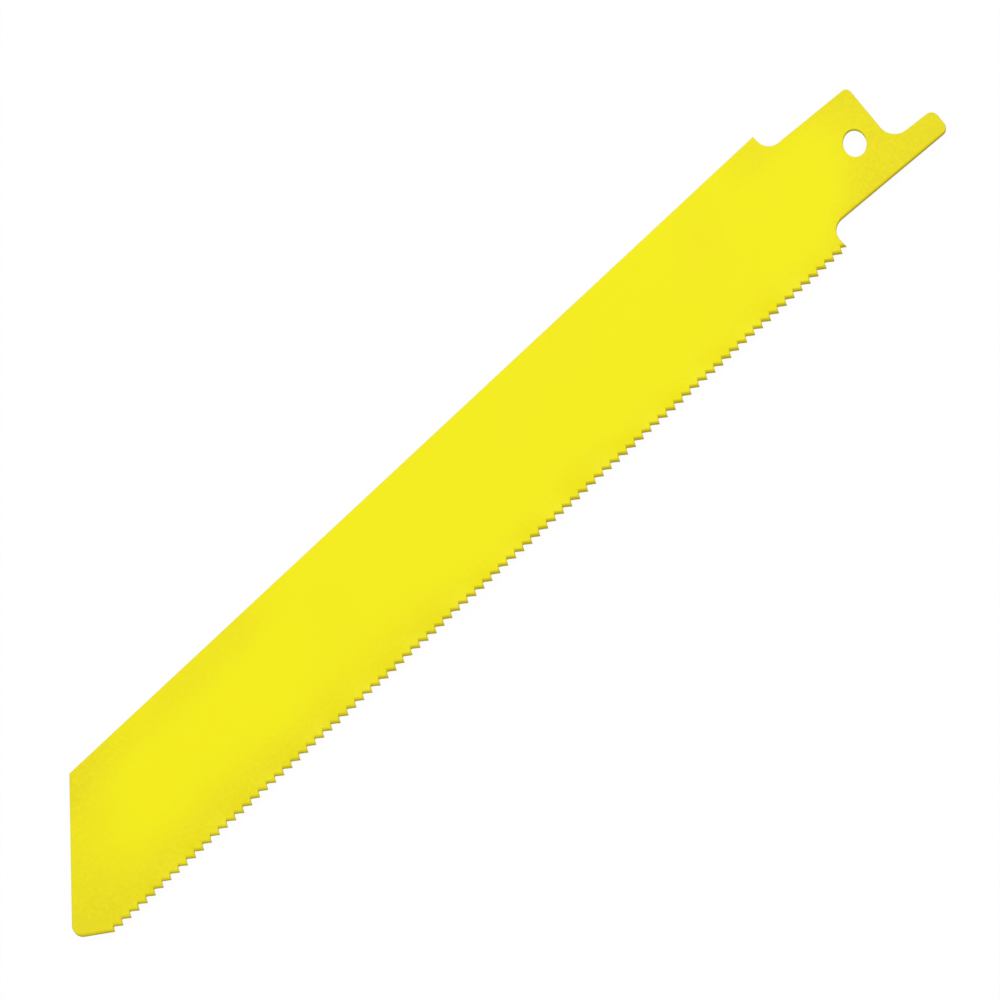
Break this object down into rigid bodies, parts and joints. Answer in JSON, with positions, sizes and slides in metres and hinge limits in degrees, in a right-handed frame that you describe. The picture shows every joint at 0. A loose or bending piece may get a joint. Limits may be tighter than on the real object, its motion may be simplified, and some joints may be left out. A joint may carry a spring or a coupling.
{
  "type": "reciprocating saw blade",
  "caption": "Straight yellow-painted saw blade with fine wavy-set teeth, a slanted nose and a canted, notched tang with a pin hole.",
  "frame": {"origin": "centre of the tang's pin hole, halfway through the steel", "axes": "+X along the back edge from the tang to the nose, +Y across the blade to the teeth, +Z out of the face that shows, along the pin hole"},
  "size_m": [0.1525, 0.0192, 0.0014],
  "materials": {
    "yellow_paint": "satin"
  },
  "bodies": {
    "root": {"blade": "yellow_paint"}
  },
  "joints": []
}
